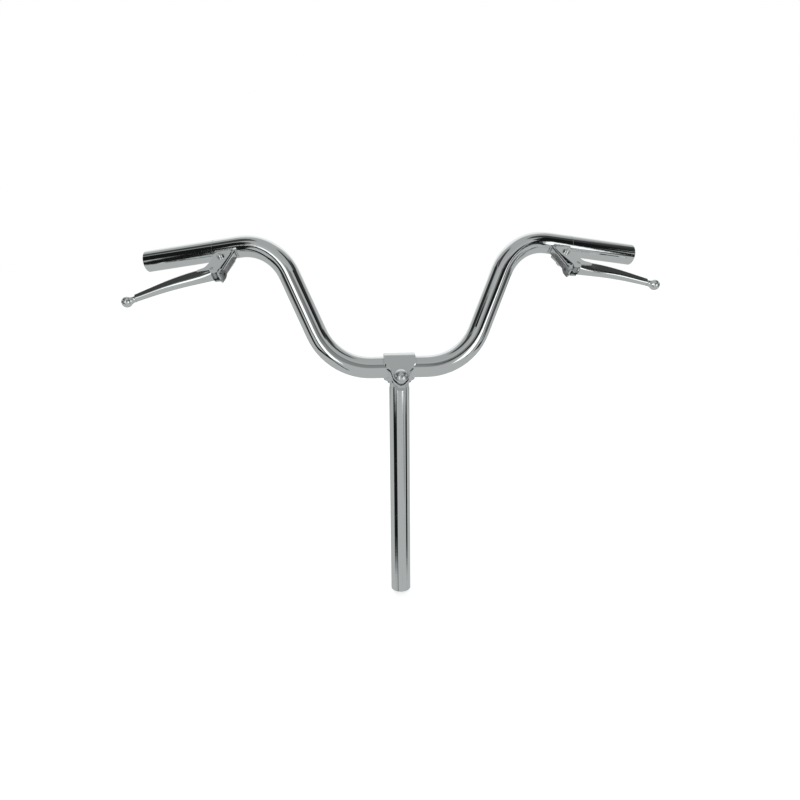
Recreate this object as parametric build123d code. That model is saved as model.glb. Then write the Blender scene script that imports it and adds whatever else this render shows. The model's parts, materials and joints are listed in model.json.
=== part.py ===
"""High-rise moped handlebar: bent tube, clamped on a plain stem, with two welded brake lever perches.

Millimetres.  The origin is the centre of the stem's lower end.  X runs to the right lever, +Y to the rider
and +Z up along the stem.  Pieces are drawn about the centre of the clamped bar and moved up at the end.
"""
import os
from math import atan, cos, degrees, radians, sin

from build123d import *

# Bent tube
BAR_RADIUS = 11.1
BAR_WALL = 1.5
LOW_CORNER = Vector(68.0, 0.0, 0.0)
HIGH_CORNER = Vector(125.0, 45.4, 125.0)
BAR_END = Vector(262.1, 78.2, 103.4)
LOW_BEND_RADIUS = 60.0
HIGH_BEND_RADIUS = 53.0
END_CHAMFER = 0.4

# Shallow turned ring where the grip's mouth stops, measured along the grip from the high corner
GRIP_LINE = 64.2
GRIP_LINE_WIDTH = 0.8
GRIP_LINE_DEPTH = 0.2

# Stem post
STEM_RADIUS = 10.55
STEM_WALL = 2.6
STEM_LENGTH = 253.0
STEM_SETBACK = 4.0
STEM_TOP = -4.0
SPIGOT_RADIUS = 10.0
SPIGOT_HEIGHT = 17.5

# Strap clamp.  Its ears run forward and down at EAR_DROP below level.
EAR_DROP = 40.0
STRAP_WIDTH = 32.0
STRAP_THICKNESS = 3.5
STRAP_BORE_RADIUS = BAR_RADIUS + 0.05
STRAP_RADIUS = STRAP_BORE_RADIUS + STRAP_THICKNESS
STRAP_RIM = 0.4
EAR_GAP = 3.5
EAR_TIP = 32.0
BOLT_REACH = 21.4
WELD_LEG = 1.8

# Clamp bolt and nut, M8
BOLT_RADIUS = 4.0
BOLT_HOLE_RADIUS = 4.2
BOLT_HEAD_RADIUS = 7.6
BOLT_HEAD_HEIGHT = 4.6
NUT_ACROSS_FLATS = 13.0
NUT_HEIGHT = 6.5
WASHER_RADIUS = 6.5
WASHER_THICKNESS = 1.0

# Lever perch.  Outlines are (along the grip, forward of the grip, corner radius).
PERCH_DROP = 32.0
PERCH_HALF = 4.7
PERCH_PLATE = 2.0
STOP_LIP_HALF = 6.2
PIVOT = (52.5, 19.5)
CABLE_STOP = 35.7
EAR_OUTLINE = [(38.3, 7.5, 0), (63.0, 7.5, 0), (63.0, 14.5, 4), (57.5, 27.5, 6), (50.2, 41.0, 3),
               (50.9, 48.0, 1), (49.0, 48.0, 0)]
WALL_ANGLE = degrees(atan(9.5 / 36.0))
WALL_FOOT = (38.3, 7.5)
WALL_LENGTH = 41.3
LIP_LENGTH = 7.0
PERCH_BEND = 1.9

# Weld beads between the perch ears and the bar
BEAD_RADIUS = 1.25
BEAD_STEP = 1.8
BEADS = 11
BEAD_LINE = (42.5, 9.3, 5.4)

# Pivot screw and nut, M5
PIN_RADIUS = 2.5
PIN_CLEARANCE = 0.05
PIN_HEAD_RADIUS = 3.7
PIN_HEAD_HEIGHT = 2.4
PIN_NUT_FLATS = 8.0
PIN_NUT_HEIGHT = 4.0
BUSH_RADIUS = 4.5
SHIM_RADIUS = 5.0
SHIM_THICKNESS = 0.5
SIDE_PLAY = 0.05

# Brake lever, a pressed channel open towards the grip, drawn against its open stop.
# Blade stations are (along, back edge, front edge, half height at back and at front, front radius).
LEVER_PLATE = 1.5
LEVER_HALF = PERCH_HALF + SHIM_THICKNESS + SIDE_PLAY + LEVER_PLATE
LEVER_EAR = [(41.8, 12.0, 2), (60.6, 12.0, 5), (61.8, 26.0, 8), (66.5, 35.0, 6), (74.0, 37.4, 0),
             (74.0, 40.5, 0), (60.5, 40.5, 0), (58.5, 44.0, 0), (50.9, 44.0, 2)]
BLADE_STATIONS = [(58.5, 35.4, 44.8, LEVER_HALF - 0.15, 5.6, 4.2), (76.0, 36.8, 48.2, 6.6, 4.0, 3.7),
                  (96.0, 41.3, 51.3, 6.2, 3.4, 3.1), (120.0, 49.0, 57.3, 5.0, 2.8, 2.5),
                  (141.0, 57.1, 63.7, 3.8, 2.7, 2.3)]
BLADE_BACK_EDGE = 1.4
CHANNEL_END = 124.0
RIGHT_LEVER_PULL = 8.0

# Ball end, turned: a neck that swells into the ball, with a stud in the lever's tip
BALL_CENTRE = (147.8, 63.2)
BALL_RADIUS = 5.7
NECK_RADIUS = 3.5
NECK_REACH = 9.4
SHOULDER_ANGLE = 125.0
STUD_RADIUS = 1.8
STUD_REACH = 17.5
STUD_ANGLE = 18.5

# Cable anchor in the lever and cable stop in the perch
ANCHOR = (58.3, 38.2)
ANCHOR_RADIUS = 3.5
ANCHOR_LENGTH = 8.0
TRUNNION_RADIUS = 2.2
CABLE_RADIUS = 1.2
STOP_RADIUS = 3.2
STOP_FLANGE_RADIUS = 4.6
STOP_BORE_RADIUS = 1.6


def forward_outline(points):
    """Closed face from (along, forward, corner radius) points; forward is local -Y."""
    corners = [(along, -forward) for along, forward, _ in points]
    rounded = make_face(Polyline(*corners, close=True))
    for along, forward, radius in points:
        if radius:
            corner = rounded.vertices().sort_by_distance((along, -forward))[0]
            rounded = fillet(corner, radius)
    return rounded


def slab(outline, low, high):
    """Plate of an outline between two heights."""
    return extrude(Pos(0, 0, low) * outline, high - low)


def rod_x(radius, length):
    """Cylinder along X centred on the origin."""
    return Rot(0, 90, 0) * Cylinder(radius, length)


def tube(outer, inner, low, high):
    """Upright ring between two heights."""
    height = high - low
    ring = Cylinder(outer, height) - Cylinder(inner, height)
    return Pos(0, 0, (low + high) / 2) * ring


def hexagon(across_flats, low, high):
    """Upright hexagon with chamfered corners between two heights."""
    flat_face = Pos(0, 0, low) * RegularPolygon(across_flats / 2, 6, major_radius=False)
    blank = extrude(flat_face, high - low)
    corner_radius = across_flats / 2 / cos(radians(30)) - 0.35
    rounded = Pos(0, 0, (low + high) / 2) * Cylinder(corner_radius, high - low)
    return blank & chamfer(rounded.edges().filter_by(GeomType.CIRCLE), 0.5)


def mirrored(point):
    return Vector(-point.X, point.Y, point.Z)


# Bar and stem

def handlebar_tube():
    corners = [mirrored(BAR_END), mirrored(HIGH_CORNER), mirrored(LOW_CORNER)]
    corners += [LOW_CORNER, HIGH_CORNER, BAR_END]
    radii = [HIGH_BEND_RADIUS, LOW_BEND_RADIUS, LOW_BEND_RADIUS, HIGH_BEND_RADIUS]
    path = FilletPolyline(*corners, radius=radii)
    section = Plane(origin=path @ 0, z_dir=path % 0)
    outer = sweep(section * Circle(BAR_RADIUS), path=path)
    inner = sweep(section * Circle(BAR_RADIUS - BAR_WALL), path=path)
    bar = outer - inner
    rims = bar.edges().filter_by(GeomType.CIRCLE).filter_by(lambda e: abs(e.center().X) > BAR_END.X - 1)
    bar = chamfer(rims, END_CHAMFER)
    ring = rod_x(BAR_RADIUS + 1, GRIP_LINE_WIDTH) - rod_x(BAR_RADIUS - GRIP_LINE_DEPTH, 2)
    right_ring = PERCH_FRAME * (Pos(GRIP_LINE, 0, 0) * ring)
    return bar - right_ring - mirror(right_ring, about=Plane.YZ)


def stem_tube():
    """Post whose top is turned down to a spigot under the weld bead."""
    shoulder = STEM_TOP - SPIGOT_HEIGHT
    post = tube(STEM_RADIUS, STEM_RADIUS - STEM_WALL, -STEM_LENGTH, shoulder)
    post = chamfer(post.edges().sort_by(Axis.Z)[:2], END_CHAMFER)
    post += tube(SPIGOT_RADIUS, STEM_RADIUS - STEM_WALL, shoulder, STEM_TOP)
    return Pos(0, STEM_SETBACK, 0) * post - rod_x(STRAP_RADIUS, 60)


def stem_weld():
    collar = Pos(0, STEM_SETBACK, -12) * Cylinder(STEM_RADIUS + WELD_LEG, 20)
    band = rod_x(STRAP_RADIUS + WELD_LEG, 60) - rod_x(STRAP_RADIUS, 60)
    bead = collar & band
    bead &= Pos(0, 0, -12) * Box(60, 60, 20)
    bead -= Pos(0, STEM_SETBACK, -30) * Cylinder(SPIGOT_RADIUS, 100)
    return bead - stem_tube()


# Clamp, drawn in its own frame: X along the bar, -Y along the ears, Z up through the bolt

CLAMP_FRAME = Plane(origin=(0, 0, 0), x_dir=(1, 0, 0),
                    z_dir=(0, -sin(radians(EAR_DROP)), cos(radians(EAR_DROP))))
UPPER_EAR = (STRAP_RADIUS - STRAP_THICKNESS, STRAP_RADIUS)
LOWER_EAR = (UPPER_EAR[0] - EAR_GAP - STRAP_THICKNESS, UPPER_EAR[0] - EAR_GAP)


def strap_outline():
    half = STRAP_WIDTH / 2
    right = [(half, -20, 0), (half, 6.0, 2), (9.6, 13.5, 5), (7.6, 23.0, 6), (0, EAR_TIP, 4.5)]
    left = [(-x, y, r) for x, y, r in reversed(right[:-1])]
    return forward_outline(right + left)


def clamp_strap():
    band = rod_x(STRAP_RADIUS, STRAP_WIDTH)
    band = chamfer(band.edges().filter_by(GeomType.CIRCLE), STRAP_RIM)
    upper = Pos(0, -EAR_TIP / 2, sum(UPPER_EAR) / 2) * Box(STRAP_WIDTH, EAR_TIP, STRAP_THICKNESS)
    lower = Pos(0, -EAR_TIP / 2, sum(LOWER_EAR) / 2) * Box(STRAP_WIDTH, EAR_TIP, STRAP_THICKNESS)
    slot = Pos(0, -EAR_TIP / 2, LOWER_EAR[1] + EAR_GAP / 2) * Box(STRAP_WIDTH + 2, EAR_TIP, EAR_GAP)
    strap = band + upper + lower - rod_x(STRAP_BORE_RADIUS, STRAP_WIDTH + 2) - slot
    strap &= slab(strap_outline(), -30, 30)
    strap -= Pos(0, -BOLT_REACH, 0) * Cylinder(BOLT_HOLE_RADIUS, 60)
    return CLAMP_FRAME * strap


def clamp_bolt():
    base = UPPER_EAR[1]
    dome_radius = (BOLT_HEAD_RADIUS ** 2 + BOLT_HEAD_HEIGHT ** 2) / (2 * BOLT_HEAD_HEIGHT)
    dome = Pos(0, 0, base + BOLT_HEAD_HEIGHT - dome_radius) * Sphere(dome_radius)
    dome &= Pos(0, 0, base + 5) * Box(30, 30, 10)
    tail = LOWER_EAR[0] - WASHER_THICKNESS - NUT_HEIGHT - 1.2
    shank = Pos(0, 0, (base + tail) / 2) * Cylinder(BOLT_RADIUS, base - tail)
    shank = chamfer(shank.edges().sort_by(Axis.Z)[0], 0.8)
    return CLAMP_FRAME * Pos(0, -BOLT_REACH, 0) * (dome + shank)


def clamp_washer():
    ring = tube(WASHER_RADIUS, BOLT_RADIUS, LOWER_EAR[0] - WASHER_THICKNESS, LOWER_EAR[0])
    return CLAMP_FRAME * Pos(0, -BOLT_REACH, 0) * ring


def clamp_nut():
    top = LOWER_EAR[0] - WASHER_THICKNESS
    nut = hexagon(NUT_ACROSS_FLATS, top - NUT_HEIGHT, top)
    nut -= Pos(0, 0, top) * Cylinder(BOLT_RADIUS, 40)
    return CLAMP_FRAME * Pos(0, -BOLT_REACH, 0) * nut


# Perch and lever, drawn in the right perch frame: X out along the grip, -Y forward, Z up

GRIP = (BAR_END - HIGH_CORNER).normalized()
FORWARD = Vector(0, -cos(radians(PERCH_DROP)), -sin(radians(PERCH_DROP)))
PERCH_NORMAL = GRIP.cross(FORWARD) * -1 if GRIP.cross(FORWARD).Z < 0 else GRIP.cross(FORWARD)
PERCH_FRAME = Plane(origin=HIGH_CORNER, x_dir=GRIP, z_dir=PERCH_NORMAL.normalized())


def upright(point, shape):
    """Put an upright local shape over a point of the outlines."""
    return Pos(point[0], -point[1], 0) * shape


def perch():
    ear = forward_outline(EAR_OUTLINE)
    body = slab(ear, PERCH_HALF - PERCH_PLATE, PERCH_HALF)
    body += slab(ear, -PERCH_HALF, PERCH_PLATE - PERCH_HALF)
    body = wall_frame().inverse() * body
    body += Pos(WALL_LENGTH / 2, PERCH_PLATE / 2, 0) * Box(WALL_LENGTH, PERCH_PLATE, 2 * PERCH_HALF)
    bends = body.edges().filter_by(Axis.X).filter_by(lambda e: is_near(e.center(), 0, PERCH_HALF))
    body = fillet(bends, PERCH_BEND)
    lip_centre = WALL_LENGTH - LIP_LENGTH / 2
    lip = Pos(lip_centre, PERCH_PLATE / 2, 0) * Box(LIP_LENGTH, PERCH_PLATE, 2 * STOP_LIP_HALF)
    body = wall_frame() * (body + lip)
    body -= Pos(60, 0, 0) * rod_x(BAR_RADIUS, 80)
    body -= upright(PIVOT, Cylinder(PIN_RADIUS, 40))
    return body - stop_frame() * Cylinder(STOP_RADIUS, 12)


def is_near(point, forward, height):
    """True for a point of the wall frame on the lines at this depth and height, above or below."""
    return abs(point.Y - forward) < 0.01 and abs(abs(point.Z) - height) < 0.01


def wall_frame():
    """Perch wall frame: X runs forward along the wall, Y out of it towards the lever."""
    return Pos(WALL_FOOT[0], -WALL_FOOT[1], 0) * Rot(0, 0, WALL_ANGLE - 90)


def stop_frame():
    """Cable stop frame: its Z runs out along the cable, square to the perch wall."""
    return wall_frame() * Pos(CABLE_STOP, 0, 0) * Rot(-90, 0, 0)


def perch_weld():
    """A rippled bead along each ear and a short one at the foot of the wall."""
    beads = Part()
    start, forward, height = BEAD_LINE
    for side in (1, -1):
        for step in range(BEADS):
            beads += Pos(start + step * BEAD_STEP, -forward, side * height) * Sphere(BEAD_RADIUS)
    foot = Pos(38.75, 0, 0) * (rod_x(BAR_RADIUS + 1.4, 0.9) - rod_x(BAR_RADIUS, 2))
    beads += foot & Pos(38.75, -12, 0) * Box(4, 10, 2 * PERCH_HALF)
    beads -= Pos(60, 0, 0) * rod_x(BAR_RADIUS, 80)
    return beads - perch()


def cable_stop():
    barrel = Pos(0, 0, 1.4) * Cylinder(STOP_RADIUS, 2.8)
    flange = Pos(0, 0, -0.6) * Cylinder(STOP_FLANGE_RADIUS, 1.2)
    return stop_frame() * (barrel + flange - Cylinder(STOP_BORE_RADIUS, 20))


def blade_section(along, back, front, back_half, front_half):
    """Section across the blade at one station, lower at the front."""
    plane = Plane(origin=(along, 0, 0), x_dir=(0, 1, 0), z_dir=(1, 0, 0))
    corners = [(-back, back_half), (-front, front_half), (-front, -front_half), (-back, -back_half)]
    return plane * make_face(Polyline(*corners, close=True))


def blade():
    """Lofted blade, solid: wide radii along the front, small ones along the back."""
    sections = []
    for along, back, front, back_half, front_half, front_edge in BLADE_STATIONS:
        section = blade_section(along, back, front, back_half, front_half)
        section = fillet(section.vertices().sort_by(Axis.Y)[:2], front_edge)
        sections.append(fillet(section.vertices().sort_by(Axis.Y)[-2:], BLADE_BACK_EDGE))
    return loft(sections)


def channel():
    """Space inside the blade's plate, open at the back and at the pivot end."""
    sections = []
    for along, back, front, back_half, front_half, front_edge in BLADE_STATIONS:
        start = along - 3 if along == BLADE_STATIONS[0][0] else along
        open_half = back_half + 6 * (back_half - front_half) / (front - back) - LEVER_PLATE
        inner_half = front_half - LEVER_PLATE
        section = blade_section(start, back - 6, front - LEVER_PLATE, open_half, inner_half)
        inside = min(front_edge - LEVER_PLATE, inner_half - 0.3)
        sections.append(fillet(section.vertices().sort_by(Axis.Y)[:2], inside))
    return loft(sections) & Pos(CHANNEL_END - 50, -40, 0) * Box(100, 80, 40)


def brake_lever():
    ears = slab(forward_outline(LEVER_EAR), -LEVER_HALF, LEVER_HALF)
    ears -= Pos(50, -30, 0) * Box(60, 60, 2 * (LEVER_HALF - LEVER_PLATE))
    body = ears + (blade() - channel())
    body &= ball_frame() * Pos(-NECK_REACH - 75, 0, 0) * Box(150, 150, 60)
    body -= upright(PIVOT, Cylinder(PIN_RADIUS + PIN_CLEARANCE, 40))
    body -= upright(ANCHOR, Cylinder(TRUNNION_RADIUS, 40))
    return body - stud()


def ball_frame():
    """Ball frame: X runs out along the lever through the ball centre."""
    return Pos(BALL_CENTRE[0], -BALL_CENTRE[1], 0) * Rot(0, 0, -STUD_ANGLE)


def stud():
    """Stud of the ball, inside the lever tip."""
    length = STUD_REACH - NECK_REACH
    return ball_frame() * Pos(-NECK_REACH - length / 2, 0, 0) * rod_x(STUD_RADIUS, length)


def lever_ball():
    shoulder = on_ball(SHOULDER_ANGLE)
    neck = (-NECK_REACH, NECK_RADIUS)
    outline = Polyline((BALL_RADIUS, 0), (-NECK_REACH, 0), neck)
    outline += Spline(neck, (-BALL_RADIUS, NECK_RADIUS), shoulder)
    outline += ThreePointArc(shoulder, on_ball(SHOULDER_ANGLE / 2), (BALL_RADIUS, 0))
    return ball_frame() * revolve(make_face(outline), Axis.X) + stud()


def on_ball(angle):
    """Point of the ball's half outline at an angle from the lever tip's direction."""
    return BALL_RADIUS * cos(radians(angle)), BALL_RADIUS * sin(radians(angle))


def pivot_screw():
    head_base = LEVER_HALF + SIDE_PLAY
    tail = -head_base - PIN_NUT_HEIGHT - 1.0
    shank = Pos(0, 0, (head_base + tail) / 2) * Cylinder(PIN_RADIUS, head_base - tail)
    head = Pos(0, 0, head_base + PIN_HEAD_HEIGHT / 2) * Cylinder(PIN_HEAD_RADIUS, PIN_HEAD_HEIGHT)
    head = chamfer(head.edges().sort_by(Axis.Z)[-1], 0.4)
    groove = Pos(0, 0, head_base + PIN_HEAD_HEIGHT) * Rot(0, 0, 35) * Box(20, 1.2, 2.0)
    return upright(PIVOT, shank + head - groove)


def pivot_nut():
    top = -LEVER_HALF - SIDE_PLAY
    nut = hexagon(PIN_NUT_FLATS, top - PIN_NUT_HEIGHT, top) - Cylinder(PIN_RADIUS, 60)
    return upright(PIVOT, nut)


def pivot_bush():
    inside = PERCH_HALF - PERCH_PLATE
    return upright(PIVOT, tube(BUSH_RADIUS, PIN_RADIUS, -inside, inside))


def pivot_shims():
    upper = tube(SHIM_RADIUS, PIN_RADIUS, PERCH_HALF, PERCH_HALF + SHIM_THICKNESS)
    lower = tube(SHIM_RADIUS, PIN_RADIUS, -PERCH_HALF - SHIM_THICKNESS, -PERCH_HALF)
    return upright(PIVOT, Compound([upper, lower]))


def cable_anchor():
    body = Cylinder(ANCHOR_RADIUS, ANCHOR_LENGTH)
    body += Cylinder(TRUNNION_RADIUS, 2 * LEVER_HALF)
    body -= rod_x(CABLE_RADIUS, 20)
    return upright(ANCHOR, body)


SIDE_PARTS = {
    "perch": perch,
    "perch_weld": perch_weld,
    "cable_stop": cable_stop,
    "brake_lever": brake_lever,
    "lever_ball": lever_ball,
    "cable_anchor": cable_anchor,
    "pivot_screw": pivot_screw,
    "pivot_bush": pivot_bush,
    "pivot_shims": pivot_shims,
    "pivot_nut": pivot_nut,
}
LEVER_PARTS = ["brake_lever", "lever_ball", "cable_anchor"]
CENTRE_PARTS = {
    "handlebar_tube": handlebar_tube,
    "stem_tube": stem_tube,
    "stem_weld": stem_weld,
    "clamp_strap": clamp_strap,
    "clamp_bolt": clamp_bolt,
    "clamp_washer": clamp_washer,
    "clamp_nut": clamp_nut,
}


def pulled(piece, angle):
    """Turn a piece of the lever about its pivot, towards the grip."""
    pivot = Pos(PIVOT[0], -PIVOT[1], 0)
    return pivot * Rot(0, 0, angle) * pivot.inverse() * piece


def main():
    os.makedirs("parts", exist_ok=True)
    bar_centre = Pos(0, -STEM_SETBACK, STEM_LENGTH)
    for name, build in CENTRE_PARTS.items():
        export_step(bar_centre * build(), f"parts/{name}.step")
    for name, build in SIDE_PARTS.items():
        piece = build()
        left = mirror(bar_centre * (PERCH_FRAME * piece), about=Plane.YZ)
        export_step(left, f"parts/left_{name}.step")
        if name in LEVER_PARTS:
            piece = pulled(piece, RIGHT_LEVER_PULL)
        export_step(bar_centre * (PERCH_FRAME * piece), f"parts/right_{name}.step")


main()
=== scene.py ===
"""Looks of the high-rise moped handlebar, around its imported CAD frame."""
import json
import math

import bmesh
import bpy
from mathutils import Matrix, Vector

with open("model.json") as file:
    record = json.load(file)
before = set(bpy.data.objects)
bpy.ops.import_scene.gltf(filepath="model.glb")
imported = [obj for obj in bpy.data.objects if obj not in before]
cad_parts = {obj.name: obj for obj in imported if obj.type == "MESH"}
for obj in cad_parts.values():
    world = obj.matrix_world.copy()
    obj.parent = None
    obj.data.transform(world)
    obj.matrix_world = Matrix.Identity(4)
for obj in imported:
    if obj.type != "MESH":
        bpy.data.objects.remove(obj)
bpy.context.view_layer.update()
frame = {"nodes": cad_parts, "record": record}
nodes = frame["nodes"]

# Camera, placed about the centre of the clamped bar
BAR_CENTRE = Vector((0.0, -0.004, 0.253))
FOCAL_PIXELS = 790.0
FRAME_PIXELS = 800.0
SENSOR = 36.0
YAW, PITCH, ROLL = 0.0690, 0.2680, -0.0080
OFFSET = Vector((-0.00065, 0.03402, 0.8107))

# Floor
FLOOR_HEIGHT = -0.004
FLOOR_HALF = 3.0
PAPER_SHADE = (0.955, 0.957, 0.96, 1)
WHITE = (1.0, 1.0, 1.0, 1)
PAPER_GLOW = 0.74

# Wear of the plated metal, and the painted shade in its corners; lengths in metres
NOISE_ROUGHNESS = 0.55
DULL = (0.55, 0.57, 0.58, 1)
# Dark grey of the painted shade in corners and crevices, and how far the occlusion looks for them
PAINTED_SHADE_GREY = (0.16, 0.16, 0.155, 1)
PAINTED_SHADE_REACH = 0.004
WAVE_HEIGHT = 0.0003


def add_camera():
    """Camera at the studio's viewing angle: turned by yaw, tipped down by pitch."""
    camera = bpy.data.cameras.new("camera")
    camera.sensor_width = SENSOR
    camera.lens = SENSOR * FOCAL_PIXELS / FRAME_PIXELS
    camera.clip_start = 0.01
    cy, sy, cp, sp = math.cos(YAW), math.sin(YAW), math.cos(PITCH), math.sin(PITCH)
    cr, sr = math.cos(ROLL), math.sin(ROLL)
    right = Vector((cy, -sy, 0))
    up = Vector((sy * sp, cy * sp, cp))
    ahead = Vector((sy * cp, cy * cp, -sp))
    right, up = cr * right + sr * up, -sr * right + cr * up
    place = BAR_CENTRE - right * OFFSET.x - up * OFFSET.y - ahead * OFFSET.z
    holder = bpy.data.objects.new("camera", camera)
    axes = Matrix((right, up, -ahead)).transposed()
    holder.matrix_world = Matrix.Translation(place) @ axes.to_4x4()
    bpy.context.scene.collection.objects.link(holder)
    bpy.context.scene.camera = holder


class Nodes:
    """Short way to write shader nodes."""

    def __init__(self, tree):
        self.tree = tree
        tree.nodes.clear()

    def add(self, kind, inputs=None, **settings):
        node = self.tree.nodes.new(kind)
        for name, value in settings.items():
            setattr(node, name, value)
        for name, value in (inputs or {}).items():
            self.feed(node.inputs[name], value)
        return node

    def feed(self, socket, value):
        if isinstance(value, bpy.types.NodeSocket):
            self.tree.links.new(value, socket)
        else:
            socket.default_value = value

    def math(self, operation, a, b=0.0, c=0.0):
        return self.add("ShaderNodeMath", {0: a, 1: b, 2: c}, operation=operation).outputs[0]

    def ramp(self, value, low, high, start=0.0, end=1.0):
        node = self.add("ShaderNodeMapRange", {0: value, 1: low, 2: high, 3: start, 4: end},
                        interpolation_type="SMOOTHSTEP")
        return node.outputs[0]

    def mix(self, factor, a, b):
        node = self.add("ShaderNodeMix", data_type="FLOAT", clamp_factor=True)
        for index, value in ((0, factor), (2, a), (3, b)):
            self.feed(node.inputs[index], value)
        return node.outputs[0]

    def tint(self, factor, a, b):
        node = self.add("ShaderNodeMix", data_type="RGBA", clamp_factor=True)
        for index, value in ((0, factor), (6, a), (7, b)):
            self.feed(node.inputs[index], value)
        return node.outputs[2]

    def place(self, stretch):
        """Position on the object in metres, stretched along each axis."""
        coordinates = self.add("ShaderNodeTexCoord").outputs["Object"]
        return self.add("ShaderNodeMapping", {0: coordinates, 3: stretch}).outputs[0]

    def noise(self, scale, detail, stretch=(1, 1, 1)):
        node = self.add("ShaderNodeTexNoise", {"Vector": self.place(stretch), "Scale": scale,
                                               "Detail": detail, "Roughness": NOISE_ROUGHNESS})
        return node.outputs[0]


# What the chrome reflects: (azimuth low, high, elevation low, high, soft edge, brightness), in degrees.
# Azimuth 0 is the camera's side and + is the object's right; later rows lie over earlier ones.
PANELS = [
    (-180, 180, 50, 92, 16, 0.38),
    (146, 214, -8, 56, 20, 0.86),
    (-15, 15, 6, 37, 10, 0.23),
    (-4, 24, 34, 41, 5, 0.17),
    (62, 116, -10, 12, 8, 0.10),
    (-116, -60, -10, 12, 8, 0.085),
    (62, 116, 33, 50, 8, 0.025),
    (-114, -70, 28, 48, 8, 0.025),
    (-104, -56, 48, 76, 8, 0.05),
    (60, 98, 44, 74, 8, 0.05),
    (79, 89, -20, 12, 4, 0.012),
    (-77, -60, -26, 12, 4, 0.012),
    (43.5, 49, -22, 20, 2.5, 0.008),
    (44, 56, 12, 30, 2.5, 0.008),
    (48, 66, 25, 47, 2.5, 0.008),
    (66, 89, -27, -15.5, 3, 0.008),
    (-41, -34.5, -52, 12, 2.5, 0.008),
    (-50, -36, 8, 25, 2.5, 0.008),
    (-66, -40, 20, 45, 2.5, 0.008),
    (-78, -37, -27, -15.5, 3, 0.008),
    (8, 42, 19, 35, 5, 0.010),
    (25, 45, -15, 19, 3, 1.25),
    (-38, -18, 12, 29, 4, 1.25),
    (-34, -20, -14, 14, 3, 1.25),
    (120, 140, -14, 8, 6, 0.02),
    (-140, -120, -14, 8, 6, 0.02),
]
SWEEP = 0.43
STUDIO_TINT = (0.965, 1.0, 0.995, 1.0)


def band(n, value, low, high, soft):
    """Soft-edged 1 between low and high, 0 outside."""
    rise = n.ramp(value, low - soft / 2, low + soft / 2)
    fall = n.ramp(value, high - soft / 2, high + soft / 2, 1.0, 0.0)
    return n.math("MULTIPLY", rise, fall)


def add_world():
    """White to the camera; to the object, a grey sweep with the light and dark panels over it."""
    world = bpy.data.worlds.new("studio")
    bpy.context.scene.world = world
    world.use_nodes = True
    n = Nodes(world.node_tree)
    direction = n.add("ShaderNodeTexCoord").outputs["Generated"]
    x, y, z = n.add("ShaderNodeSeparateXYZ", {0: direction}).outputs
    azimuth = n.math("MULTIPLY", n.math("ARCTAN2", x, n.math("MULTIPLY", y, -1.0)), 180 / math.pi)
    elevation = n.math("MULTIPLY", n.math("ARCSINE", z), 180 / math.pi)
    behind = n.math("WRAP", azimuth, 360.0, 0.0)
    light = SWEEP
    for az_low, az_high, el_low, el_high, soft, level in PANELS:
        mask = band(n, elevation, el_low, el_high, soft)
        if az_high - az_low < 360:
            turn = behind if az_high > 180 else azimuth
            mask = n.math("MULTIPLY", mask, band(n, turn, az_low, az_high, soft))
        light = n.mix(mask, light, level)
    tinted = n.tint(light, (0, 0, 0, 1), STUDIO_TINT)
    strong = n.math("MAXIMUM", light, 1.0)
    studio = n.add("ShaderNodeBackground", {0: tinted, 1: strong})
    plain = n.add("ShaderNodeBackground", {0: (1, 1, 1, 1), 1: 1.0})
    seen = n.add("ShaderNodeLightPath").outputs["Is Camera Ray"]
    both = n.add("ShaderNodeMixShader", {0: seen, 1: studio.outputs[0], 2: plain.outputs[0]})
    n.add("ShaderNodeOutputWorld", {0: both.outputs[0]})


def add_floor():
    """Pale paper floor under the stem, seen by the camera and left out of the chrome's reflections."""
    mesh = bpy.data.meshes.new("floor")
    shape = bmesh.new()
    bmesh.ops.create_grid(shape, x_segments=8, y_segments=8, size=FLOOR_HALF)
    bmesh.ops.translate(shape, verts=shape.verts, vec=(0, 0, FLOOR_HEIGHT))
    shape.to_mesh(mesh)
    shape.free()
    floor = bpy.data.objects.new("floor", mesh)
    bpy.context.scene.collection.objects.link(floor)
    floor.visible_glossy = False
    floor.visible_diffuse = False
    material = bpy.data.materials.new("paper")
    material.use_nodes = True
    n = Nodes(material.node_tree)
    fibre = n.noise(900.0, 4.0)
    tone = n.tint(fibre, PAPER_SHADE, WHITE)
    bump = n.add("ShaderNodeBump", {"Height": fibre, "Strength": 0.05, "Distance": 0.0002})
    paper = n.add("ShaderNodeBsdfDiffuse", {0: tone, 2: bump.outputs[0]})
    glow = n.add("ShaderNodeEmission", {0: tone, 1: PAPER_GLOW})
    both = n.add("ShaderNodeAddShader", {0: paper.outputs[0], 1: glow.outputs[0]})
    n.add("ShaderNodeOutputMaterial", {0: both.outputs[0]})
    mesh.materials.append(material)


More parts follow.
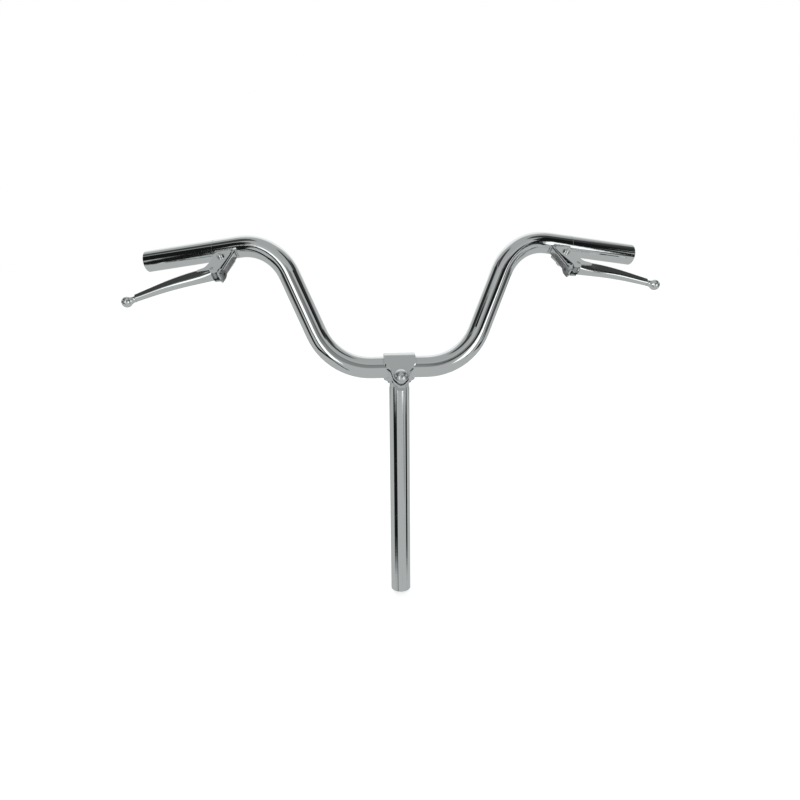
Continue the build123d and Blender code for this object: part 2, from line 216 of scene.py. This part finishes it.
def metal(name, colour, rough, wave, smudge=0.03, stretch=(1, 1, 1), lines=0.0):
    """Plated metal: smudges in its gloss, plating pits, slight waviness, and fine lines along one axis."""
    material = bpy.data.materials.new(name)
    material.use_nodes = True
    n = Nodes(material.node_tree)
    cloud = n.ramp(n.noise(38.0, 5.0), 0.42, 0.72)
    fine = n.noise(420.0, 4.0)
    pits = n.ramp(n.noise(1500.0, 2.0), 0.70, 0.78)
    scratch = n.ramp(n.noise(1.0, 5.0, stretch), 0.60, 0.70)
    # Painted shade: where ambient occlusion finds corners and crevices, the base colour is darkened in
    # patches towards a dark grey, and the gloss is roughened there
    corner = n.add("ShaderNodeAmbientOcclusion", {"Distance": PAINTED_SHADE_REACH}, samples=6).outputs["AO"]
    painted_shade = n.ramp(corner, 0.35, 0.85, 1.0, 0.0)
    painted_shade = n.math("MULTIPLY", painted_shade, n.ramp(fine, 0.35, 0.65, 0.35, 0.9))
    base = n.tint(n.math("MULTIPLY", pits, 0.5), colour, DULL)
    base = n.tint(n.math("MULTIPLY", scratch, lines), base, DULL)
    base = n.tint(n.math("MULTIPLY", painted_shade, 0.55), base, PAINTED_SHADE_GREY)
    gloss = n.math("MULTIPLY_ADD", cloud, smudge, rough)
    gloss = n.math("MULTIPLY_ADD", scratch, lines * 0.25, gloss)
    gloss = n.math("MULTIPLY_ADD", pits, 0.12, gloss)
    gloss = n.math("MULTIPLY_ADD", painted_shade, 0.18, gloss)
    height = n.math("MULTIPLY_ADD", scratch, -0.6 * lines, n.noise(85.0, 2.0))
    height = n.math("MULTIPLY_ADD", fine, 0.10, height)
    bump = n.add("ShaderNodeBump", {"Height": height, "Strength": wave, "Distance": WAVE_HEIGHT})
    shader = n.add("ShaderNodeBsdfPrincipled", {"Base Color": base, "Metallic": 1.0, "Roughness": gloss,
                                                "Normal": bump.outputs[0]})
    n.add("ShaderNodeOutputMaterial", {0: shader.outputs[0]})
    return material


CHROME = (0.93, 0.945, 0.945, 1)
SOFT_CHROME = (0.88, 0.895, 0.895, 1)
ZINC = (0.70, 0.715, 0.73, 1)
STEEL = (0.60, 0.61, 0.615, 1)
ALONG_Z = (700, 700, 14)
ALONG_X = (14, 700, 700)
FINISHES = {
    "tube_chrome": dict(colour=CHROME, rough=0.035, wave=0.10, stretch=ALONG_X, lines=0.12),
    "stem_chrome": dict(colour=CHROME, rough=0.045, wave=0.08, stretch=ALONG_Z, lines=0.35, smudge=0.05),
    "strap_chrome": dict(colour=SOFT_CHROME, rough=0.09, wave=0.30, stretch=ALONG_X, lines=0.2),
    "perch_chrome": dict(colour=SOFT_CHROME, rough=0.09, wave=0.30, stretch=ALONG_X, lines=0.2),
    "lever_chrome": dict(colour=CHROME, rough=0.055, wave=0.22, stretch=ALONG_X, lines=0.2),
    "ball_chrome": dict(colour=CHROME, rough=0.05, wave=0.15),
    "weld_chrome": dict(colour=SOFT_CHROME, rough=0.12, wave=0.8),
    "bolt_chrome": dict(colour=CHROME, rough=0.26, wave=0.2),
    "screw_chrome": dict(colour=CHROME, rough=0.10, wave=0.2),
    "zinc_steel": dict(colour=ZINC, rough=0.22, wave=0.5, smudge=0.12),
    "stop_steel": dict(colour=STEEL, rough=0.18, wave=0.3, smudge=0.08),
    "anchor_steel": dict(colour=STEEL, rough=0.20, wave=0.3, smudge=0.08),
    "bush_steel": dict(colour=STEEL, rough=0.25, wave=0.3, smudge=0.08),
}


def dress_nodes():
    """Give every CAD piece the material of its slot."""
    materials = {slot: metal(slot, **finish) for slot, finish in FINISHES.items()}
    for part in frame["record"]["subparts"]:
        mesh = nodes[part["node"]].data
        mesh.materials.clear()
        mesh.materials.append(materials[part["material_slot"]])


add_camera()
add_world()
add_floor()
bpy.context.scene.view_settings.view_transform = "Standard"
dress_nodes()
